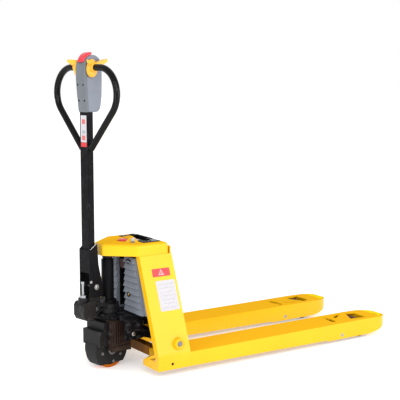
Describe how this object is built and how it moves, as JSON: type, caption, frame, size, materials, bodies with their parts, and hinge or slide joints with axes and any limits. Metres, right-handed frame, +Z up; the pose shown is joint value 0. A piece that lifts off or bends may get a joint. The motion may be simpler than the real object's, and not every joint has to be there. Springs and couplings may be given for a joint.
{
  "type": "electric pallet truck",
  "caption": "Low-lift electric pallet truck with two forks, a lift-out battery under a sloped chassis hood, a steered drive wheel unit and a tiller with a loop handle.",
  "frame": {"origin": "on the ground under the middle of the overall box, forks lowered", "axes": "+Z up, +Y along the forks towards their tips, +X to the right of an operator who faces the forks"},
  "size_m": [0.55, 1.4546, 1.262],
  "materials": {
    "yellow_paint": "gloss",
    "grey_plastic": "satin",
    "black_plastic": "satin",
    "black_paint": "satin",
    "steel": "satin",
    "chrome_rod": "polished",
    "aluminium": "satin",
    "horn_enamel": "gloss",
    "wheel_iron": "painted",
    "orange_tread": "satin",
    "yellow_plastic": "satin",
    "red_plastic": "gloss"
  },
  "bodies": {
    "chassis": {"fork_channel_left": "yellow_paint", "fork_channel_right": "yellow_paint", "side_panel_left": "yellow_paint", "side_panel_right": "yellow_paint", "back_plate": "yellow_paint", "cross_member": "yellow_paint", "hood_cap": "yellow_paint", "front_cover": "grey_plastic", "cover_screws": "steel", "battery_tray": "black_plastic", "controller": "aluminium", "hydraulic_tank": "black_plastic", "pump_motor": "black_paint", "horn": "horn_enamel", "key_switch": "steel", "lift_ram": "chrome_rod", "rocker_bushes": "steel", "yoke_pins": "steel"},
    "carriage": {"carriage_bracket": "black_paint", "thrust_bearings": "steel"},
    "drive_unit": {"base_casting": "black_paint", "steer_shaft": "steel", "lift_cylinder": "black_paint", "cylinder_gland": "steel", "drive_housing": "black_paint", "drive_motor": "black_paint", "gearbox_cover": "black_paint", "drive_cover": "black_paint", "wheel_fender": "black_plastic", "drive_bearings": "steel", "brake_unit": "black_paint", "limit_bolt": "steel", "tiller_pin": "steel"},
    "drive_wheel": {"drive_axle": "steel", "drive_hub": "wheel_iron", "drive_tyre": "orange_tread", "drive_gear": "steel"},
    "rotor": {"motor_rotor": "steel"},
    "tiller": {"tiller_bracket": "black_paint", "tiller_tube": "black_paint", "handle_loop": "black_paint", "head_front_shell": "grey_plastic", "head_rear_shell": "grey_plastic", "head_screws": "black_plastic"},
    "throttle": {"throttle": "yellow_plastic"},
    "belly_button": {"belly_button": "red_plastic"},
    "horn_button": {"horn_button": "black_plastic"},
    "lift_button": {"lift_button": "black_plastic"},
    "lower_button": {"lower_button": "black_plastic"},
    "rocker": {"rocker_shaft": "black_paint"},
    "push_rod_left": {"push_rod_left": "black_paint"},
    "push_rod_right": {"push_rod_right": "black_paint"},
    "yoke_left": {"yoke_left": "black_paint"},
    "yoke_right": {"yoke_right": "black_paint"},
    "load_roller_left": {"load_roller_left": "orange_tread"},
    "load_roller_right": {"load_roller_right": "orange_tread"},
    "estop": {"estop_knob": "red_plastic"},
    "key": {"ignition_key": "steel"},
    "battery": {"battery_pack": "black_plastic"},
    "battery_handle": {"battery_handle": "black_plastic"}
  },
  "joints": [
    {"name": "lift", "type": "slide", "parent": "chassis", "child": "carriage", "axis": [0, 0, -1], "range_m": [0, 0.115]},
    {"name": "steer", "type": "hinge", "parent": "carriage", "child": "drive_unit", "pos_m": [0, -0.57774, 0.2], "axis": [0, 0, 1], "range_deg": [-80, 60]},
    {"name": "wheel_spin", "type": "hinge", "parent": "drive_unit", "child": "drive_wheel", "pos_m": [0.00174, -0.58759, 0.075], "axis": [0.9848, 0.1736, 0], "continuous": true},
    {"name": "rotor_spin", "type": "hinge", "parent": "drive_unit", "child": "rotor", "pos_m": [-0.00035, -0.57577, 0.165], "axis": [0.9848, 0.1736, 0], "continuous": true},
    {"name": "tiller_tilt", "type": "hinge", "parent": "drive_unit", "child": "tiller", "pos_m": [0.01424, -0.6585, 0.342], "axis": [0.9848, 0.1736, 0], "range_deg": [0, 80], "stiffness_Nm_per_rad": 60, "springref_deg": -14.32},
    {"name": "throttle_turn", "type": "hinge", "parent": "tiller", "child": "throttle", "pos_m": [0.0165, -0.6713, 1.202], "axis": [0.9848, 0.1736, 0], "range_deg": [-25, 25], "stiffness_Nm_per_rad": 0.6},
    {"name": "belly_press", "type": "slide", "parent": "tiller", "child": "belly_button", "axis": [-0.1736, 0.9848, 0], "range_m": [0, 0.006], "stiffness_N_per_m": 600, "springref_m": -0.004},
    {"name": "horn_press", "type": "slide", "parent": "tiller", "child": "horn_button", "axis": [0.1736, -0.9848, 0], "range_m": [0, 0.0025], "stiffness_N_per_m": 300, "springref_m": -0.003},
    {"name": "lift_press", "type": "slide", "parent": "tiller", "child": "lift_button", "axis": [0.1736, -0.9848, 0], "range_m": [0, 0.0025], "stiffness_N_per_m": 300, "springref_m": -0.003},
    {"name": "lower_press", "type": "slide", "parent": "tiller", "child": "lower_button", "axis": [0.1736, -0.9848, 0], "range_m": [0, 0.0025], "stiffness_N_per_m": 300, "springref_m": -0.003},
    {"name": "rocker_turn", "type": "hinge", "parent": "chassis", "child": "rocker", "pos_m": [0, -0.40774, 0.125], "axis": [1, 0, 0], "range_deg": [0, 55.14]},
    {"name": "push_left", "type": "slide", "parent": "chassis", "child": "push_rod_left", "axis": [0, 1, 0], "range_m": [0, 0.03346]},
    {"name": "yoke_turn_left", "type": "hinge", "parent": "chassis", "child": "yoke_left", "pos_m": [-0.199, 0.4425, 0.032], "axis": [1, 0, 0], "range_deg": [-58.92, 0]},
    {"name": "roller_spin_left", "type": "hinge", "parent": "yoke_left", "child": "load_roller_left", "pos_m": [-0.199, 0.57226, 0.04], "axis": [1, 0, 0], "continuous": true},
    {"name": "push_right", "type": "slide", "parent": "chassis", "child": "push_rod_right", "axis": [0, 1, 0], "range_m": [0, 0.03346]},
    {"name": "yoke_turn_right", "type": "hinge", "parent": "chassis", "child": "yoke_right", "pos_m": [0.199, 0.4425, 0.032], "axis": [1, 0, 0], "range_deg": [-58.92, 0]},
    {"name": "roller_spin_right", "type": "hinge", "parent": "yoke_right", "child": "load_roller_right", "pos_m": [0.199, 0.57226, 0.04], "axis": [1, 0, 0], "continuous": true},
    {"name": "estop_press", "type": "slide", "parent": "chassis", "child": "estop", "axis": [0, 0, -1], "range_m": [0, 0.006]},
    {"name": "key_turn", "type": "hinge", "parent": "chassis", "child": "key", "pos_m": [0.07, -0.49974, 0.508], "axis": [0, 0, 1], "range_deg": [0, 90]},
    {"name": "battery_lift_out", "type": "slide", "parent": "chassis", "child": "battery", "axis": [0, 0, 1], "range_m": [0, 0.22]},
    {"name": "battery_handle_turn", "type": "hinge", "parent": "battery", "child": "battery_handle", "pos_m": [0, -0.42374, 0.513], "axis": [1, 0, 0], "range_deg": [0, 90]}
  ],
  "couplings": [
    {"joint": "rotor_spin", "follows": "wheel_spin", "ratio": -1.6328},
    {"joint": "rocker_turn", "follows": "lift", "rad_per_m": 8.3689},
    {"joint": "push_left", "follows": "lift", "ratio": 0.29082},
    {"joint": "yoke_turn_left", "follows": "lift", "rad_per_m": -8.9425},
    {"joint": "push_right", "follows": "lift", "ratio": 0.29082},
    {"joint": "yoke_turn_right", "follows": "lift", "rad_per_m": -8.9425}
  ]
}
